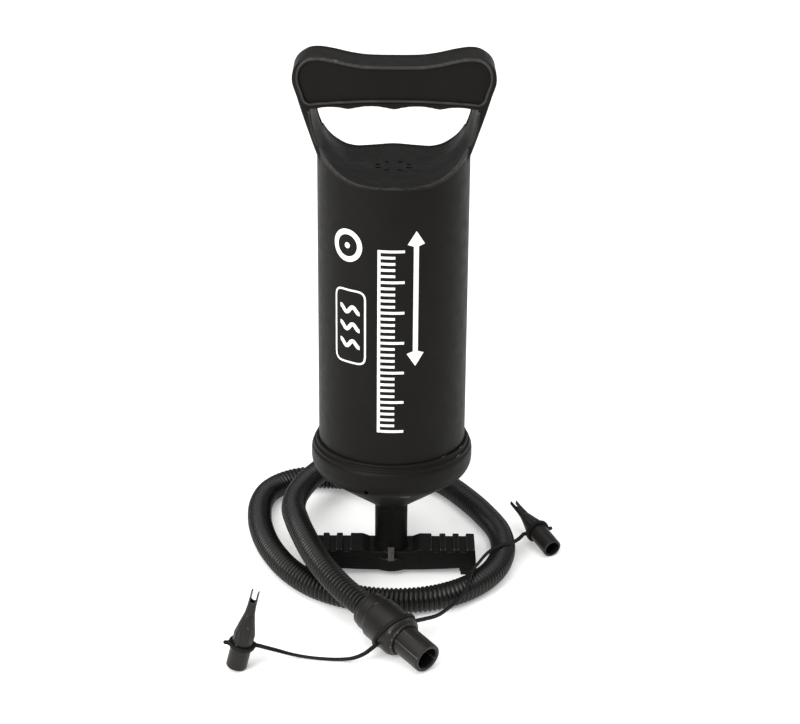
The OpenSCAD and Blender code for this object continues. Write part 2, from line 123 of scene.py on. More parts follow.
camera_data = bpy.data.cameras.new("camera")
camera_data.sensor_width = CAMERA_SENSOR_MM
camera_data.lens = CAMERA_LENS_MM
camera_data.shift_x, camera_data.shift_y = CAMERA_SHIFT
camera = bpy.data.objects.new("camera", camera_data)
bpy.context.scene.collection.objects.link(camera)
camera.matrix_world = (
    Matrix.Translation(CAMERA_PLACE)
    @ Matrix.Rotation(math.radians(90 - CAMERA_DOWN_DEG), 4, "X")
    @ Matrix.Rotation(math.radians(CAMERA_ROLL_DEG), 4, "Z")
)
bpy.context.scene.camera = camera

# ---- materials ----

TONE_SCALE = 45
GLOSS_SCALE = 160
GLOSS_SPREAD = 0.05
GRAIN_DEPTH = 0.05 * MM
HIGHLIGHT_FROM, HIGHLIGHT_TO = 0.53, 0.59  # how pointed an edge is where the painted edge highlight starts, and where it is full


def socket_noise(tree, coordinates, scale, detail, low, high):
    """A noise value spread between low and high."""
    noise = tree.nodes.new("ShaderNodeTexNoise")
    noise.inputs["Scale"].default_value = scale
    noise.inputs["Detail"].default_value = detail
    tree.links.new(coordinates, noise.inputs["Vector"])
    spread = tree.nodes.new("ShaderNodeMapRange")
    spread.inputs["From Min"].default_value = 0.3
    spread.inputs["From Max"].default_value = 0.7
    spread.inputs["To Min"].default_value = low
    spread.inputs["To Max"].default_value = high
    tree.links.new(noise.outputs["Fac"], spread.inputs["Value"])
    return spread.outputs["Result"]


def mixed(tree, factor, first, second):
    """The colour between first and second. Each is a colour or a socket."""
    mix = tree.nodes.new("ShaderNodeMix")
    mix.data_type = "RGBA"
    tree.links.new(factor, mix.inputs["Factor"])
    for name, value in (("A", first), ("B", second)):
        socket = next(s for s in mix.inputs if s.name == name and s.type == "RGBA")
        if isinstance(value, tuple):
            socket.default_value = (*value, 1)
        else:
            tree.links.new(value, socket)
    return next(s for s in mix.outputs if s.type == "RGBA")


def surface(name, colour, roughness, edge=None, grain=1500, relief=0.25, specular=0.5, metallic=0,
            spread=0.12):
    """A moulded surface: uneven colour, pointed edges painted lighter as a painted highlight, uneven gloss
    and a fine moulded grain.
    """
    material = bpy.data.materials.new(name)
    material.use_nodes = True
    tree = material.node_tree
    shader = tree.nodes["Principled BSDF"]
    shader.inputs["Specular IOR Level"].default_value = specular
    shader.inputs["Metallic"].default_value = metallic
    coordinates = tree.nodes.new("ShaderNodeTexCoord").outputs["Object"]

    dark = tuple(c * (1 - spread) for c in colour)
    light = tuple(min(1, c * (1 + spread)) for c in colour)
    tone = mixed(tree, socket_noise(tree, coordinates, TONE_SCALE, 4, 0, 1), dark, light)
    # Pointed edges and rim beads get the lighter edge colour: a painted highlight where the rounded edges
    # catch the light
    if edge:
        geometry = tree.nodes.new("ShaderNodeNewGeometry")
        ramp = tree.nodes.new("ShaderNodeMapRange")
        ramp.inputs["From Min"].default_value = HIGHLIGHT_FROM
        ramp.inputs["From Max"].default_value = HIGHLIGHT_TO
        tree.links.new(geometry.outputs["Pointiness"], ramp.inputs["Value"])
        tone = mixed(tree, ramp.outputs["Result"], tone, edge)
    tree.links.new(tone, shader.inputs["Base Color"])

    low, high = roughness - GLOSS_SPREAD, roughness + GLOSS_SPREAD
    gloss = socket_noise(tree, coordinates, GLOSS_SCALE, 5, low, high)
    tree.links.new(gloss, shader.inputs["Roughness"])

    bump = tree.nodes.new("ShaderNodeBump")
    bump.inputs["Strength"].default_value = relief
    bump.inputs["Distance"].default_value = GRAIN_DEPTH
    tree.links.new(socket_noise(tree, coordinates, grain, 3, 0, 1), bump.inputs["Height"])
    tree.links.new(bump.outputs["Normal"], shader.inputs["Normal"])
    return material


# The lighter edge colours in these looks are painted highlights on pointed edges and rim beads
EDGE_HIGHLIGHT = (0.085, 0.077, 0.069)
LOOKS = {
    "barrel_plastic": dict(colour=(0.0062, 0.0056, 0.005), roughness=0.5, edge=EDGE_HIGHLIGHT, specular=0.1),
    "charcoal_plastic": dict(colour=(0.0045, 0.004, 0.0036), roughness=0.5, edge=EDGE_HIGHLIGHT, specular=0.1),
    "hose_plastic": dict(colour=(0.0045, 0.0041, 0.0036), roughness=0.34, specular=0.26),
    "soft_grey_plastic": dict(colour=(0.009, 0.0079, 0.0074), roughness=0.4, edge=EDGE_HIGHLIGHT, specular=0.24),
    "grey_plastic": dict(colour=(0.075, 0.073, 0.07), roughness=0.5, edge=(0.12, 0.115, 0.11), specular=0.2),
    "natural_plastic": dict(colour=(0.66, 0.65, 0.6), roughness=0.4, spread=0.04),
    "black_rubber": dict(colour=(0.006, 0.0055, 0.0052), roughness=0.6, grain=900, relief=0.4, specular=0.15),
    "red_rubber": dict(colour=(0.42, 0.07, 0.045), roughness=0.55, spread=0.06),
    "zinc_steel": dict(colour=(0.55, 0.55, 0.57), roughness=0.34, metallic=1, spread=0.05),
    "white_print": dict(colour=(0.86, 0.86, 0.84), roughness=0.5, grain=2500, relief=0.1, spread=0.03),
}
MATERIALS = {name: surface(name, **look) for name, look in LOOKS.items()}

# ---- curves ----


def through(points, gap):
    """Points about gap apart on one smooth curve through the given points."""
    p = np.array(points, float)
    chord = np.linalg.norm(np.diff(p, axis=0), axis=1)
    slope = np.diff(p, axis=0) / chord[:, None]
    inner = (slope[:-1] * chord[1:, None] + slope[1:] * chord[:-1, None]) / (chord[:-1] + chord[1:])[:, None]
    tangent = np.vstack([slope[:1], inner, slope[-1:]])
    out = []
    for a, b, ta, tb, long in zip(p[:-1], p[1:], tangent[:-1], tangent[1:], chord):
        count = max(1, round(long / gap))
        t = (np.arange(count) / count)[:, None]
        out.append(
            (2 * t**3 - 3 * t**2 + 1) * a
            + (t**3 - 2 * t**2 + t) * long * ta
            + (3 * t**2 - 2 * t**3) * b
            + (t**3 - t**2) * long * tb
        )
    return np.vstack([*out, p[-1:]])


def evenly(points, gap):
    """The same line with its points the same distance apart, about gap."""
    along = np.concatenate([[0], np.cumsum(np.linalg.norm(np.diff(points, axis=0), axis=1))])
    at = np.linspace(0, along[-1], round(along[-1] / gap) + 1)
    return np.stack([np.interp(at, along, points[:, k]) for k in range(3)], axis=1), along[-1]


def arc(centre, r, start_deg, end_deg, step_deg=5):
    count = max(1, round(abs(end_deg - start_deg) / step_deg))
    angles = np.radians(np.linspace(start_deg, end_deg, count + 1))
    return [(centre[0] + r * math.cos(a), centre[1] + r * math.sin(a)) for a in angles]


def mirrored(points):
    """The points and, after them, their mirror images in reverse order."""
    return [*points, *[(-x, z) for x, z in reversed(points)]]


def rounded(profile, r):
    """A closed profile with its corners turned into arcs of about radius r, smaller at short sides."""
    p = np.array(profile, float)
    out = []
    for before, corner, after in zip(np.roll(p, 1, axis=0), p, np.roll(p, -1, axis=0)):
        back, on = before - corner, after - corner
        cut = min(r, 0.45 * np.linalg.norm(back), 0.45 * np.linalg.norm(on))
        a = corner + back / np.linalg.norm(back) * cut
        b = corner + on / np.linalg.norm(on) * cut
        for t in (0, 0.25, 0.5, 0.75, 1):
            out.append((1 - t) ** 2 * a + 2 * t * (1 - t) * corner + t**2 * b)
    return np.array(out)


# ---- fields: the distance to a shape's surface, negative inside ----


def outline_field(points):
    """The distance to a closed outline, as a function of two coordinates."""
    p = np.array(points, float)
    sides = [(a, b) for a, b in zip(p, np.roll(p, -1, axis=0)) if (a != b).any()]

    def field(u, v):
        best = np.full(np.broadcast(u, v).shape, np.inf)
        inside = np.zeros(best.shape, bool)
        for (au, av), (bu, bv) in sides:
            du, dv = bu - au, bv - av
            t = np.clip(((u - au) * du + (v - av) * dv) / (du * du + dv * dv), 0, 1)
            best = np.minimum(best, (u - au - t * du) ** 2 + (v - av - t * dv) ** 2)
            if dv:
                inside ^= ((av > v) != (bv > v)) & (u < du * (v - av) / dv + au)
        return np.where(inside, -1, 1) * np.sqrt(best)

    return field


def both(a, b, r=0.0):
    """Inside both a and b, with the edge between them rounded to radius r."""
    if r == 0:
        return np.maximum(a, b)
    return np.minimum(np.maximum(a, b), -r) + np.hypot(np.maximum(a + r, 0), np.maximum(b + r, 0))


def either(a, b, r=0.0):
    """Inside a or b, with a fillet of radius r between them."""
    return -both(-a, -b, r)


def without(a, b, r=0.0):
    """Inside a and outside b, with a rounded edge."""
    return both(a, -b, r)


def block(x, y, z, low, high, r):
    """A box from low to high with rounded edges."""
    q = [abs(c - (lo + hi) / 2) - (hi - lo) / 2 + r for c, lo, hi in zip((x, y, z), low, high)]
    outside = np.sqrt(sum(np.maximum(c, 0) ** 2 for c in q))
    return outside + np.minimum(np.maximum(np.maximum(q[0], q[1]), q[2]), 0) - r


def rod(x, y, z, start, end, r):
    """A round rod with round ends."""
    start, end = np.array(start, float), np.array(end, float)
    d = end - start
    px, py, pz = x - start[0], y - start[1], z - start[2]
    t = np.clip((px * d[0] + py * d[1] + pz * d[2]) / (d @ d), 0, 1)
    return np.sqrt((px - t * d[0]) ** 2 + (py - t * d[1]) ** 2 + (pz - t * d[2]) ** 2) - r


# ---- meshes ----

LONGEST_STEP = 0.25  # of a point towards the surface, in millimetres


def spaced(low, high, step):
    return np.linspace(low, high, max(2, round((high - low) / step) + 1))


def crossings(values, cells, axes):
    """In each cell, the middle of the places where its edges cross 0."""
    total, count = np.zeros((len(cells), 3)), np.zeros(len(cells))
    for axis in range(3):
        u, v = (axis + 1) % 3, (axis + 2) % 3
        for step_u, step_v in ((0, 0), (0, 1), (1, 0), (1, 1)):
            a = cells.copy()
            a[:, u] += step_u
            a[:, v] += step_v
            b = a.copy()
            b[:, axis] += 1
            fa, fb = values[tuple(a.T)], values[tuple(b.T)]
            crossed = (fa < 0) != (fb < 0)
            t = np.where(crossed, fa / np.where(crossed, fa - fb, 1), 0)
            pa = np.stack([axes[n][a[:, n]] for n in range(3)], axis=1)
            pb = np.stack([axes[n][b[:, n]] for n in range(3)], axis=1)
            total += crossed[:, None] * (pa + t[:, None] * (pb - pa))
            count += crossed
    return total / count[:, None]


def net_quads(inside, number):
    """A quad across each grid edge that leaves the shape, between the points of the four cells round it."""
    quads = []
    for axis in range(3):
        step_u, step_v = np.eye(3, dtype=int)[(axis + 1) % 3], np.eye(3, dtype=int)[(axis + 2) % 3]
        near = np.moveaxis(np.moveaxis(inside, axis, 0)[:-1], 0, axis)
        far = np.moveaxis(np.moveaxis(inside, axis, 0)[1:], 0, axis)
        edges = np.argwhere(near != far)
        ring = [edges - step_u - step_v, edges - step_v, edges, edges - step_u]
        quad = np.stack([number[tuple(c.T)] for c in ring], axis=1)
        flipped = far[tuple(edges.T)]
        quad[flipped] = quad[flipped][:, ::-1]
        quads.append(quad)
    return np.vstack(quads)


def surface_net(field, axes):
    """The surface where field is 0: points, quads and normals, with a point in each cell it crosses."""
    grids = np.meshgrid(*axes, indexing="ij", sparse=True)
    values = np.array(np.broadcast_to(field(*grids), [len(a) for a in axes]))
    inside = values < 0
    last = [len(a) - 1 for a in axes]
    corners = [
        inside[i : last[0] + i, j : last[1] + j, k : last[2] + k]
        for i in (0, 1) for j in (0, 1) for k in (0, 1)
    ]
    cells = np.argwhere(np.logical_or.reduce(corners) & ~np.logical_and.reduce(corners))
    number = np.full(last, -1)
    number[tuple(cells.T)] = np.arange(len(cells))

    points = crossings(values, cells, axes)
    for _ in range(2):
        slope = steepness(field, points)
        step = field(*points.T)[:, None] * slope / np.maximum((slope**2).sum(1), 0.2)[:, None]
        points = points - np.clip(step, -LONGEST_STEP, LONGEST_STEP)
    normals = steepness(field, points)
    normals /= np.maximum(np.linalg.norm(normals, axis=1), 1e-6)[:, None]
    return points, net_quads(inside, number), normals


def steepness(field, points, reach=0.03):
    """The field's slope along each axis."""
    steps = reach * np.eye(3)
    return np.stack([field(*(points + s).T) - field(*(points - s).T) for s in steps], axis=1) / (2 * reach)


def ring_quads(rings, sides, closed=False):
    """Quads between neighbouring rings of points, and from the last back to the first when closed."""
    rows, columns = np.meshgrid(np.arange(rings if closed else rings - 1), np.arange(sides), indexing="ij")
    here, beyond, nxt = rows * sides, (rows + 1) % rings * sides, (columns + 1) % sides
    return np.stack([here + columns, here + nxt, beyond + nxt, beyond + columns], axis=-1).reshape(-1, 4)


def lathe(profile, sides):
    """A closed profile of (radius, height) points turned round the Z axis."""
    angles = np.arange(sides) * 2 * math.pi / sides
    ring = np.stack([np.cos(angles), np.sin(angles)], axis=1)
    p = np.array(profile, float)
    points = np.concatenate([np.column_stack([r * ring, np.full(sides, z)]) for r, z in p])
    quads = ring_quads(len(p), sides, closed=True)
    area = ((p[:, 0] - np.roll(p[:, 0], -1)) * (p[:, 1] + np.roll(p[:, 1], -1))).sum()
    return points, quads if area > 0 else quads[:, ::-1]


def tube(line, radii, sides):
    """A tube round a line, with a radius at each of its points and flat ends."""
    along = np.gradient(line, axis=0)
    along /= np.linalg.norm(along, axis=1)[:, None]
    side = np.cross(along, UP)
    side /= np.linalg.norm(side, axis=1)[:, None]
    up = np.cross(side, along)
    angles = np.arange(sides) * 2 * math.pi / sides
    across = np.cos(angles)[None, :, None] * side[:, None] + np.sin(angles)[None, :, None] * up[:, None]
    points = (line[:, None] + across * np.array(radii)[:, None, None]).reshape(-1, 3)
    faces = ring_quads(len(line), sides).tolist()
    faces.append(list(range(sides))[::-1])
    faces.append(list(range((len(line) - 1) * sides, len(line) * sides)))
    return points, faces


def frame_along(start, direction):
    """Turns a shape built along +Z so that it starts at a point (in metres) and runs in a direction."""
    z = np.array(direction, float) / np.linalg.norm(direction)
    x = np.cross(UP, z)
    x /= np.linalg.norm(x)
    turn = np.stack([x, np.cross(z, x), z], axis=1)
    place = np.array(start, float) / MM
    return lambda points: points @ turn.T + place, lambda vectors: vectors @ turn.T


def new_piece(name, points, faces, body, slot, replaces=(), normals=None, material=None):
    """A Blender object from points in millimetres. It rides on a body and wears its slot's material."""
    mesh = bpy.data.meshes.new(name)
    faces = faces if isinstance(faces, list) else faces.tolist()
    mesh.from_pydata((np.asarray(points) * MM).tolist(), [], faces)
    mesh.shade_smooth()
    if normals is None:
        mesh.set_sharp_from_angle(angle=SHARP_ANGLE)
    else:
        mesh.normals_split_custom_set_from_vertices(normals.tolist())
    mesh.materials.append(MATERIALS[material or slot])
    piece = bpy.data.objects.new(name, mesh)
    bpy.context.scene.collection.objects.link(piece)
    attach(piece, body)
    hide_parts(*replaces)
    return piece


def moulded(name, field, axes, body, slot, replaces=(), placing=None):
    """A piece whose surface is where a field is 0."""
    points, quads, normals = surface_net(field, axes)
    if placing:
        points, normals = placing[0](points), placing[1](normals)
    return new_piece(name, points, quads, body, slot, replaces, normals)


# ---- hose ----


def make_hose():
    """The corrugated hose: rounded ridges with narrow grooves between them."""
    rings_per_ridge = 8
    line, length = evenly(through(np.array(HOSE_ROUTE) / MM, 1), HOSE_PITCH / rings_per_ridge)
    phase = 2 * math.pi * np.arange(len(line)) / rings_per_ridge
    ridge = (0.5 - 0.5 * np.cos(phase)) ** 0.55
    points, faces = tube(line, HOSE_R - GROOVE_DEPTH * (1 - ridge), 28)
    hose = new_piece("corrugated_hose", points, faces, "base", "hose_plastic", ["air_hose"])
    for face in hose.data.polygons:
        face.use_smooth = len(face.vertices) == 4
    return hose, line * MM, length * MM


def make_strap(name, route, node):
    """A thin moulded strap that thickens a little towards both ends."""
    line, length = evenly(through(np.array(route) / MM, 0.5), 0.8)
    along = np.linspace(0, 1, len(line))
    radii = STRAP_R * (1 + 0.12 * np.cos(2 * math.pi * along))
    points, faces = tube(line, radii, 16)
    return new_piece(name, points, faces, "base", "black_rubber", [node]), line * MM, length * MM


sleeve_axis = np.array(NOZZLE_MOUTH) - np.array(SLEEVE_START)
sleeve_length_to_mouth = np.linalg.norm(sleeve_axis) / MM
sleeve_axis /= np.linalg.norm(sleeve_axis)
along_sleeve = frame_along(SLEEVE_START, sleeve_axis)


def make_sleeve():
    """The stepped sleeve at the free end of the hose."""
    profile = [
        (7.4, 0), (9.8, 0), (10.2, 0.6), (10.2, 2.4), (10.7, 3.2), (10.7, 8.6), (SLEEVE_R, 9.8),
        (SLEEVE_R, 27.4), (11.4, 28.8), (10.6, 29.8), (9.7, 30.4), (9.5, SLEEVE_LEN),
        (NOZZLE_R + 0.05, SLEEVE_LEN), (NOZZLE_R + 0.05, NOZZLE_SEAT), (7.4, NOZZLE_SEAT),
    ]
    points, quads = lathe(rounded(profile, 0.5), 128)
    return new_piece("sleeve", along_sleeve[0](points), quads, "base", "soft_grey_plastic", ["hose_sleeve"])


def make_nozzle():
    """The plain tube that sticks out of the sleeve."""
    profile = [
        (NOZZLE_BORE_R, NOZZLE_SEAT), (NOZZLE_R, NOZZLE_SEAT),
        (NOZZLE_R, sleeve_length_to_mouth - 0.4), (NOZZLE_R - 0.4, sleeve_length_to_mouth),
        (NOZZLE_BORE_R + 0.5, sleeve_length_to_mouth), (NOZZLE_BORE_R, sleeve_length_to_mouth - 0.5),
    ]
    points, quads = lathe(rounded(profile, 0.3), 96)
    return new_piece("nozzle", along_sleeve[0](points), quads, "base", "soft_grey_plastic", ["hose_nozzle"])


def local_point(start, direction, point):
    """A point of the row frame (in metres), in millimetres along the axes of a placed shape."""
    axes = frame_along(start, direction)[1](np.eye(3))
    return axes @ (np.array(point) - np.array(start)) / MM


def make_band():
    """The ring round the sleeve, leaning towards the nozzle at its top, with a root for each strap."""
    start = np.array(SLEEVE_START) + BAND_AT * sleeve_axis
    roots = [local_point(start, sleeve_axis, route[0]) for route in (LEFT_ROUTE, RIGHT_ROUTE)]
    across = roots[1] / np.linalg.norm(roots[1])
    lean = np.cross((0, 0, 1), across) * BAND_TILT

    def field(x, y, z):
        r = np.hypot(x, y)
        level = z - lean[0] * x - lean[1] * y
        band = block(r, 0, level, (SLEEVE_R - 0.02, -1, -1.2), (SLEEVE_R + 1.1, 1, 1.2), 0.45)
        for root in roots:
            inner = root * (SLEEVE_R + 0.6) / np.linalg.norm(root)
            band = either(band, rod(x, y, z, inner, root, 1.1), 0.7)
        return without(band, r - SLEEVE_R - 0.01)

    reach = spaced(-17, 17, 0.4)
    axes = (reach, reach, spaced(-8, 8, 0.4))
    placing = frame_along(start, sleeve_axis)
    return moulded("strap_band", field, axes, "base", "black_rubber", ["tether_band"], placing)


def make_loop(name, base, direction, at, strap_end, node):
    """A strap's end loop round its adapter: a flat ring, a web to the strap and a pull nub opposite."""
    unit = np.array(direction) / np.linalg.norm(direction)
    centre = np.array(base) + at * unit
    end = local_point(centre, unit, strap_end)
    outward = np.array([end[0], end[1], 0]) / math.hypot(end[0], end[1])
    nub = -outward * 9.0

    def field(x, y, z):
        r = np.hypot(x, y)
        ring = block(r, 0, z, (ADAPTER_R - 0.1, -1, -1.1), (7.2, 1, 1.1), 0.5)
        ring = either(ring, rod(x, y, z, outward * 6.6, end, 1.1), 1.2)
        ring = either(ring, rod(x, y, z, -outward * 6.6, nub, 1.1), 1.0)
        return without(ring, r - ADAPTER_R - 0.02)

    reach = spaced(-15, 15, 0.35)
    axes = (reach, reach, spaced(-8, 8, 0.35))
    return moulded(name, field, axes, "base", "black_rubber", [node], frame_along(centre, unit))


def make_adapter(name, base, direction, node, fork_deg):
    """A bottle-shaped valve adapter: hollow base, fluted shoulder and a forked tip turned by fork_deg."""
    c, s = math.cos(math.radians(fork_deg)), math.sin(math.radians(fork_deg))
    outer = outline_field([
        (0, 0), (5.2, 0), (ADAPTER_R, 0.4), (ADAPTER_R, 19), (5.45, 21), (4.75, 25), (3.6, 30), (2.8, 33.5),
        (2.4, 38), (2.3, 42), (2.2, ADAPTER_LEN - 0.1), (0, ADAPTER_LEN - 0.1),
    ])
    bore = outline_field([(-1, -1), (4.3, -1), (4.3, 20), (1.3, 31), (1.3, 60), (-1, 60)])

    def field(x, y, z):
        r, turn = np.hypot(x, y), np.arctan2(y, x)
        on_shoulder = np.exp(-(((z - 21.5) / 2.6) ** 2))
        body = outer(r, z) + 0.22 * on_shoulder * np.cos(12 * turn)
        body = without(body, bore(r, z), 0.25)
        u, v = c * x + s * y, c * y - s * x
        slot = either(block(u, v, z, (-1.45, -9, ADAPTER_LEN - 5), (1.45, 9, 70), 0.2),
                      np.hypot(u, z - ADAPTER_LEN + 5.4) - 1.45)
        flats = abs(v) - 2.0 - np.maximum(0, 34 - z) * 0.6
        return both(without(body, slot, 0.35), flats, 0.4)

    reach = spaced(-6.6, 6.6, 0.3)
    axes = (reach, reach, spaced(-0.9, ADAPTER_LEN + 0.9, 0.35))
    return moulded(name, field, axes, "base", "soft_grey_plastic", [node], frame_along(base, direction))


hose, hose_line, hose_length = make_hose()
sleeve = make_sleeve()
nozzle = make_nozzle()
band = make_band()


def make_tether(side, route, base, direction, loop_at, fork_deg):
    """A strap with its end loop and its adapter."""
    strap, line, length = make_strap(f"{side}_strap", route, f"tether_{side}")
    loop = make_loop(f"{side}_strap_loop", base, direction, loop_at, route[-1], f"tether_loop_{side}")
    adapter = make_adapter(f"{side}_adapter", base, direction, f"valve_adapter_{side}", fork_deg)


make_tether("left", LEFT_ROUTE, LEFT_BASE, LEFT_DIR, LEFT_LOOP_AT, 90)
make_tether("right", RIGHT_ROUTE, RIGHT_BASE, RIGHT_DIR, RIGHT_LOOP_AT, 0)

# ---- barrel and handle ----

CORNER = (42.4, 293.8)
CORNER_R = 11.2
GRIP_UNDER = 277.2
GRIP_HALF = 42.4
CUSP = 24


def handle_outline():
    """The D-handle seen from the front: flared flanks, round top corners and a dipped top."""
    side = [(34, 238), (38.6, 247), (41.8, 255.2), (44.8, 264), (47.8, 273), (51, 283.5)]
    corner = arc(CORNER, CORNER_R, -4, 94, 24)
    top = [(33, 303.9), (24, 301.9), (16, 300.7), (8, 300.35), (0, 300.3)]
    half = through([*side, *corner, *top], 2)
    return mirrored([tuple(p) for p in half[:-1]])


def scallops():
    """Four finger scallops from right to left: two wide ones between two narrower ones."""
    steps = 12
    spans = [(GRIP_HALF, CUSP, 1.2), (CUSP, 0, 1.7), (0, -CUSP, 1.7), (-CUSP, -GRIP_HALF, 1.2)]
    points = []
    for start, end, rise in spans:
        for k in range(steps):
            x = start + (end - start) * k / steps
            points.append((x, GRIP_UNDER + rise * math.sin(math.pi * k / steps)))
    return points


def opening_outline(side):
    """The hand opening: a bowl through the given points of its right half, and scallops above."""
    right = [tuple(p) for p in through([(-4, side[0][1]), *side], 2)[2:]]
    return [*right, *scallops(), (-GRIP_HALF, GRIP_UNDER), *[(-x, z) for x, z in reversed(right)]]


# The right half of the hand opening, which is wider at the front than at the back
OPENING_FRONT = [(0, 243.4), (12, 243.4), (19, 244), (27, 246.6), (33.5, 250.6), (38.8, 256.2), (42.4, 264.9),
                 (43.9, 272), (44.3, GRIP_UNDER)]
OPENING_BACK = [(0, 242.7), (12.8, 242.4), (21, 243.2), (26, 245.4), (31, 249.6), (35.1, 254.8), (38.6, 262),
                (41.3, 269.5), (42.6, GRIP_UNDER)]
PANEL_RIM = 2.1
PANEL_RISE = 0.9
PANEL_NARROWING = 1.02
PANEL_FOOT, PANEL_FOOT_DROP = 282.4, 2.1
PANEL_RECESS = 1.2
RIM_BEAD_R = 1.0
LIP_BEAD_R = 1.1
LIP_TOP = 276.5
HOLE_COUNT = 8
HOLE_CIRCLE_R = 9
HOLE_R = 1.5


def make_barrel():
    """Barrel, deck and D-handle in one moulding."""
    handle, opening_front, opening_back = map(
        outline_field, (handle_outline(), opening_outline(OPENING_FRONT), opening_outline(OPENING_BACK))
    )

    def field(x, y, z):
        r = np.hypot(x, y)
        grip = handle(x, z)
        arms = both(grip, abs(y) - HANDLE_HALF_DEPTH, 1.7)
        outer = either(both(r - BARREL_R, z - 262), arms, 1.2)
        part = np.clip((y + 11) / 22, 0, 1)
        part = part * part * (3 - 2 * part)
        opening = (1 - part) * opening_front(x, z) + part * opening_back(x, z)
        body = without(outer, opening, 0.8)
        lip = both(np.hypot(opening - 0.5, outer + 0.45) - LIP_BEAD_R, z - LIP_TOP, 0.5)
        body = either(body, lip, 0.4)

        panel = handle(PANEL_NARROWING * x, z - PANEL_RISE) + PANEL_RIM
        panel = both(panel, PANEL_FOOT - PANEL_FOOT_DROP * (x / 44.5) ** 2 - z, 3)
        recess = both(panel, HANDLE_HALF_DEPTH - PANEL_RECESS - abs(y))
        body = without(body, recess, 0.6)
        rim = np.hypot(panel - 0.6, abs(y) - HANDLE_HALF_DEPTH + 0.3) - RIM_BEAD_R
        body = either(body, rim, 0.3)

        body = without(body, both(r - BORE_R, z - DECK_UNDER), 0.2)
        body = both(body, SKIRT_Z - z, 0.4)
        for hole in range(HOLE_COUNT):
            turn = 2 * math.pi * (hole + 0.5) / HOLE_COUNT
            shaft = np.hypot(x - HOLE_CIRCLE_R * math.cos(turn), y - HOLE_CIRCLE_R * math.sin(turn)) - HOLE_R
            body = without(body, both(shaft, z - 250), 0.3)
        return body

    heights = np.concatenate([
        spaced(73, 76, 0.6), spaced(79, 232, 4.5), spaced(235, 238, 1), spaced(239, 306.5, 0.68),
    ])
    axes = (spaced(-55.4, 55.4, 0.7), spaced(-42.4, 42.4, 0.7), heights)
    return moulded("barrel_and_handle", field, axes, "barrel", "barrel_plastic", ["barrel_shell"])


SLOT_TURNS_DEG = (251.5, 71.5)


def slot_cutter(turn):
    """The shape of one of the cap's slots, turned about the Z axis."""
    def field(x, y, z):
        return block(x, y, z, (37, -1.2, 66.8), (50, 1.2, 69.6), 0.4)

    axes = (spaced(36, 51, 0.8), spaced(-1.8, 1.8, 0.24), spaced(66, 70.4, 0.24))
    points, quads, _ = surface_net(field, axes)
    c, s = math.cos(turn), math.sin(turn)
    return np.column_stack([c * points[:, 0] - s * points[:, 1], s * points[:, 0] + c * points[:, 1],
                            points[:, 2]]), quads


def cut_with(piece, points, faces):
    """Cuts a closed shape out of a piece."""
    mesh = bpy.data.meshes.new("cutter")
    mesh.from_pydata((points * MM).tolist(), [], faces.tolist())
    cutter = bpy.data.objects.new("cutter", mesh)
    bpy.context.scene.collection.objects.link(cutter)
    modifier = piece.modifiers.new("cut", "BOOLEAN")
    modifier.operation, modifier.solver, modifier.object = "DIFFERENCE", "EXACT", cutter
    bpy.context.view_layer.update()
    cut = bpy.data.meshes.new_from_object(piece.evaluated_get(bpy.context.evaluated_depsgraph_get()))
    piece.modifiers.clear()
    piece.data = cut
    cut.shade_smooth()
    cut.set_sharp_from_angle(angle=SHARP_ANGLE)
    bpy.data.objects.remove(cutter)


def make_cap():
    """The rounded cap below the barrel, with two beads round its top and two slots low in its side."""
    beads = [(41.05, 85.2), (41.9, 85.3), (42.7, 84.9), (42.8, 84), (42.5, 83.2), (42.9, 82.6), (43.9, 82.4),
             (44.2, 81.6), (44, 80.9), (44.5, 80.3)]
    outside = [(45.0, 79.6), (45.2, 78), (45.2, 73), (44.9, 71), (44.3, 69.2), (43.3, 67.4), (42, 66),
               (38, 63), (15, 46.1), (11.5, 43.5), (10.4, 42.4), (9.7, 42.2)]
    inside = [(9.7, 45.8), (12.45, 45.8), (12.45, 62.4), (14.6, 62.4), (14.6, 49.4), (34, 62.9), (38.6, 66.6),
              (38.6, 70), (41.05, 70)]
    points, quads = lathe(rounded([*beads, *outside, *inside], 0.6), 192)
    cap = new_piece("rounded_cap", points, quads, "barrel", "barrel_plastic", ["lower_cap"])
    for turn_deg in SLOT_TURNS_DEG:
        cut_with(cap, *slot_cutter(math.radians(turn_deg)))
    return cap


make_barrel()
make_cap()

# ---- foot ----

FOOT_UNDER = 2.5
FOOT_HALF = 48.9
FOOT_HALF_DEPTH = 10.2
FOOT_ARCH_HALF = 39.4
BOSS_R = 12.6
TREAD_Z = 16.6
GROOVE_Z = 14.9
RIBS = [(16.3, 23.5), (28, 31.6), (35.7, 39.3), (43.3, 48.2)]


def foot_outline(inset):
    """The foot bar from the front, drawn smaller by inset all round."""
    tread, groove = TREAD_Z - inset, GROOVE_Z - inset
    half = [(FOOT_HALF - inset, FOOT_UNDER + inset), (RIBS[-1][1] - inset, tread)]
    for (low, _), (_, next_high) in zip(RIBS[:0:-1], RIBS[-2::-1]):
        half += [(low + inset, tread), (low + inset, groove)]
        half += [(next_high - inset, groove), (next_high - inset, tread)]
    half += [(RIBS[0][0] + inset, tread), (12.5, groove)]
    return mirrored(half)


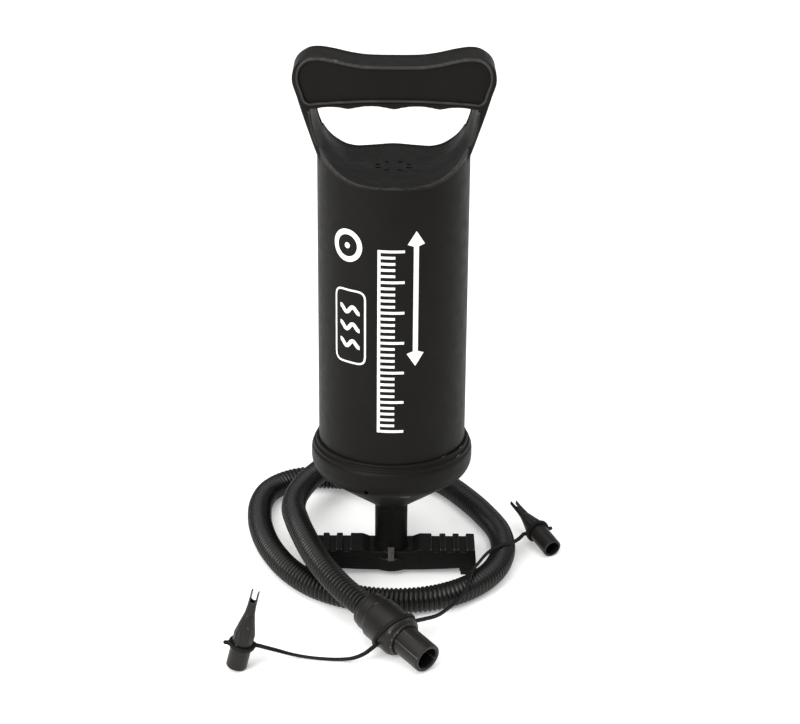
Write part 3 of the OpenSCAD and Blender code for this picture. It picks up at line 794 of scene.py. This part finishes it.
def make_foot():
    """The ribbed bar that the user stands on, with a round boss for the stem."""
    inset = 0.45
    front = outline_field(foot_outline(inset))

    def field(x, y, z):
        bar = both(front(x, z) - inset, abs(y) - FOOT_HALF_DEPTH, 0.9)
        flange = block(x, y, z, (-49.2, -10.6, FOOT_UNDER), (49.2, 10.6, 5.5), 0.5)
        boss = both(np.hypot(x, y) - BOSS_R, abs(z - 6.9) - 4.4, 0.8)
        foot = either(either(bar, flange, 0.3), boss, 0.6)
        lift = np.where(abs(x) < FOOT_ARCH_HALF, 0.8 + 1.3 * (x / FOOT_ARCH_HALF) ** 2, 0)
        foot = both(foot, FOOT_UNDER + lift - z, 0.3)
        for side in (-1, 1):
            panel = block(x, abs(y), z, (30 * side - 14, 9.8, 6.6), (30 * side + 14, 14, 11.2), 0.4)
            foot = without(foot, panel, 0.2)
            pocket = block(x, y, z, (26.5 * side - 11, -7.7, 0), (26.5 * side + 11, 7.7, 11), 0.8)
            foot = without(foot, pocket, 0.3)
        foot = without(foot, both(np.hypot(x, y) - STEM_R - 0.05, 5 - z))
        foot = without(foot, both(np.hypot(x, z - 20.5) - 8.9, -y), 0.2)
        return without(foot, block(x, y, z, (-1.9, -16, 10.1), (1.9, -9.5, 24), 0.1))

    axes = (spaced(-50.2, 50.2, 0.5), spaced(-13.8, 13.8, 0.5), spaced(1.6, 17.6, 0.45))
    return moulded("ribbed_foot", field, axes, "base", "charcoal_plastic", ["foot_bar"])


def make_pads():
    """Rubber pads under the bar's ends, each with three grooves across its sole."""
    for side, name in ((-1, "left_pad"), (1, "right_pad")):
        def field(x, y, z):
            pad = block(x, y, z, (44.4 * side - 4.3, -9.8, 0), (44.4 * side + 4.3, 9.8, FOOT_UNDER), 0.45)
            for y0 in (-5, 0, 5):
                pad = without(pad, np.hypot(y - y0, z) - 0.8, 0.2)
            return pad

        low, high = sorted((39 * side, 49.8 * side))
        axes = (spaced(low, high, 0.45), spaced(-10.9, 10.9, 0.45), spaced(-0.6, 3.1, 0.3))
        moulded(name, field, axes, "base", "black_rubber", ["foot_pads"])


def make_key():
    """The light grey lock key, with a raised rib down its face."""
    def field(x, y, z):
        key = block(x, y, z, (-1.8, -12.8, 10.2), (1.8, -10.9, 18.5), 0.4)
        tongue = block(x, y, z, (-1.75, -11.5, 14.85), (1.75, -8.3, 17.15), 0.2)
        rib = block(x, y, z, (-0.5, -13.3, 11.2), (0.5, -12, 17.5), 0.3)
        return either(either(key, tongue), rib, 0.2)

    axes = (spaced(-2.6, 2.6, 0.25), spaced(-14, -7.6, 0.25), spaced(9.4, 19.3, 0.25))
    return moulded("grey_lock_key", field, axes, "base", "grey_plastic", ["lock_key"])


make_foot()
make_pads()
make_key()

# ---- print on the barrel: plain generic marks ----

PRINT_IN, PRINT_OUT = BARREL_R - 0.1, BARREL_R + 0.06
SCALE_LEFT, SCALE_LOW = -7.4, 105.2
SCALE_LINES = 31
SCALE_STEP = 3.45
SCALE_WIDTH = 1.5
ARROW_LOW, ARROW_HIGH = 143.5, 219.5
ARROW_HEAD = 7.5
RING_AT = (-25.8, 209.5)


def finely(line, gap=1.2):
    """The same line with points added so that it can follow the barrel."""
    line = np.array(line, float)
    out = []
    for a, b in zip(line[:-1], line[1:]):
        count = max(1, math.ceil(np.linalg.norm(b - a) / gap))
        out += [a + (b - a) * k / count for k in range(count)]
    return np.array([*out, line[-1]])


class Marks:
    """Thin strokes wrapped round the barrel. Places are (arc length from the front middle, height)."""

    COLUMNS = 5

    def __init__(self):
        self.points, self.faces = [], []

    def stroke(self, line, width, closed=False):
        """A band along a line. Its width is a number, or a function of the height."""
        line = finely([*line, line[0]])[:-1] if closed else finely(line)
        if closed:
            along = np.roll(line, -1, axis=0) - np.roll(line, 1, axis=0)
        else:
            along = np.gradient(line, axis=0)
        along /= np.linalg.norm(along, axis=1)[:, None]
        half = np.array([width(z) if callable(width) else width for z in line[:, 1]]) / 2
        offset = np.stack([-along[:, 1], along[:, 0]], axis=1) * half[:, None]
        start, count = len(self.points), len(line)
        outer = [(share, PRINT_OUT) for share in np.linspace(1, -1, self.COLUMNS)]
        ring = [*outer, *[(share, PRINT_IN) for share, _ in reversed(outer)]]
        n = len(ring)
        for place, side in zip(line, offset):
            for share, r in ring:
                u, z = place + share * side
                self.points.append((r * math.sin(u / BARREL_R), -r * math.cos(u / BARREL_R), z))
        for i in range(count if closed else count - 1):
            a, b = start + n * i, start + n * ((i + 1) % count)
            for k in range(n):
                self.faces.append([a + k, a + (k + 1) % n, b + (k + 1) % n, b + k])
        if not closed:
            self.faces.append([start + k for k in reversed(range(n))])
            self.faces.append([start + n * (count - 1) + k for k in range(n)])


def arrow_width(z):
    """The width of the double arrow at a height."""
    from_tip = min(z - ARROW_LOW, ARROW_HIGH - z)
    return 0.3 + 1.3 * from_tip if from_tip < ARROW_HEAD else 2.8


def make_print():
    """A graduated scale, a double arrow for the stroke, a frame with air waves, and a ring with a dot."""
    marks = Marks()
    for i in range(SCALE_LINES):
        z = SCALE_LOW + SCALE_STEP * i
        marks.stroke([(SCALE_LEFT, z), (6.2 if i % 5 == 0 else 1.2, z)], SCALE_WIDTH)
    top = SCALE_LOW + SCALE_STEP * (SCALE_LINES - 1)
    marks.stroke([(SCALE_LEFT, SCALE_LOW - SCALE_WIDTH / 2), (SCALE_LEFT, top + SCALE_WIDTH / 2)], 1.6)
    marks.stroke([(12.4, ARROW_LOW), (12.4, ARROW_HIGH)], arrow_width)
    marks.stroke(rounded([(-33.8, 143), (-15, 143), (-15, 184.5), (-33.8, 184.5)], 4.5), 1.1, closed=True)
    for z in (154, 163.75, 173.5):
        marks.stroke([(u, z + 1.6 * math.sin((u + 24.4) * 0.8)) for u in np.linspace(-30.6, -18.2, 30)], 2.2)
    marks.stroke(arc(RING_AT, 7.6, 0, 354, 6), 3.0, closed=True)
    marks.stroke(arc(RING_AT, 0.85, 0, 330, 30), 1.6, closed=True)
    points = np.array(marks.points)
    return new_piece("barrel_print", points, marks.faces, "barrel", None, material="white_print")


make_print()

# ---- materials of the CAD nodes that still show ----

# Their facets are wide, and the lighter painted edge highlight would show on them as streaks
NO_EDGE_HIGHLIGHT = {name: surface(name + "_no_edge_highlight", **{**look, "edge": None}) for name, look in LOOKS.items()}
for row in frame["record"]["subparts"]:
    node = frame["nodes"][row["node"]]
    node.data.materials.clear()
    node.data.materials.append(NO_EDGE_HIGHLIGHT[row["material_slot"]])

# ---- floor and light ----

FLOOR_HALF = 12.0
FLOOR_GLOW = 0.25


def make_floor():
    """A pale floor that glows a little, so that shadows on it stay faint."""
    mesh = bpy.data.meshes.new("floor")
    corners = [(-FLOOR_HALF, -FLOOR_HALF, 0), (FLOOR_HALF, -FLOOR_HALF, 0), (FLOOR_HALF, FLOOR_HALF, 0),
               (-FLOOR_HALF, FLOOR_HALF, 0)]
    mesh.from_pydata(corners, [], [(0, 1, 2, 3)])
    floor = bpy.data.objects.new("floor", mesh)
    bpy.context.scene.collection.objects.link(floor)
    paint = surface("floor_paint", (0.88, 0.88, 0.87), 0.8, relief=0.05, specular=0.1, spread=0.01)
    inputs = paint.node_tree.nodes["Principled BSDF"].inputs
    inputs["Emission Color"].default_value = (1, 1, 1, 1)
    inputs["Emission Strength"].default_value = FLOOR_GLOW
    mesh.materials.append(paint)


def soft_light(name, place, target, size, power):
    """A square softbox at a place, facing a target."""
    data = bpy.data.lights.new(name, "AREA")
    data.shape, data.size, data.energy = "SQUARE", size, power
    light = bpy.data.objects.new(name, data)
    bpy.context.scene.collection.objects.link(light)
    back = Vector(place) - Vector(target)
    light.matrix_world = Matrix.Translation(place) @ back.to_track_quat("Z", "Y").to_matrix().to_4x4()


def make_light():
    """A wide soft light from above, a softbox at the left, a weaker one at the right, and a pale sky."""
    data = bpy.data.lights.new("sun", "SUN")
    data.energy, data.angle = 2.3, math.radians(70)
    sun = bpy.data.objects.new("sun", data)
    bpy.context.scene.collection.objects.link(sun)
    sun.rotation_euler = (math.radians(14), math.radians(-12), 0)
    soft_light("key_left", (-0.75, -0.95, 0.75), (0, 0, 0.17), 0.55, 11)
    soft_light("rim_right", (1.1, 0.35, 0.8), (0, 0, 0.15), 0.7, 4)
    world = bpy.data.worlds.new("studio")
    bpy.context.scene.world = world
    world.use_nodes = True
    background = world.node_tree.nodes["Background"].inputs
    background["Color"].default_value = (0.9, 0.9, 0.9, 1)
    background["Strength"].default_value = 0.4


make_floor()
make_light()
bpy.context.scene.view_settings.view_transform = "Standard"
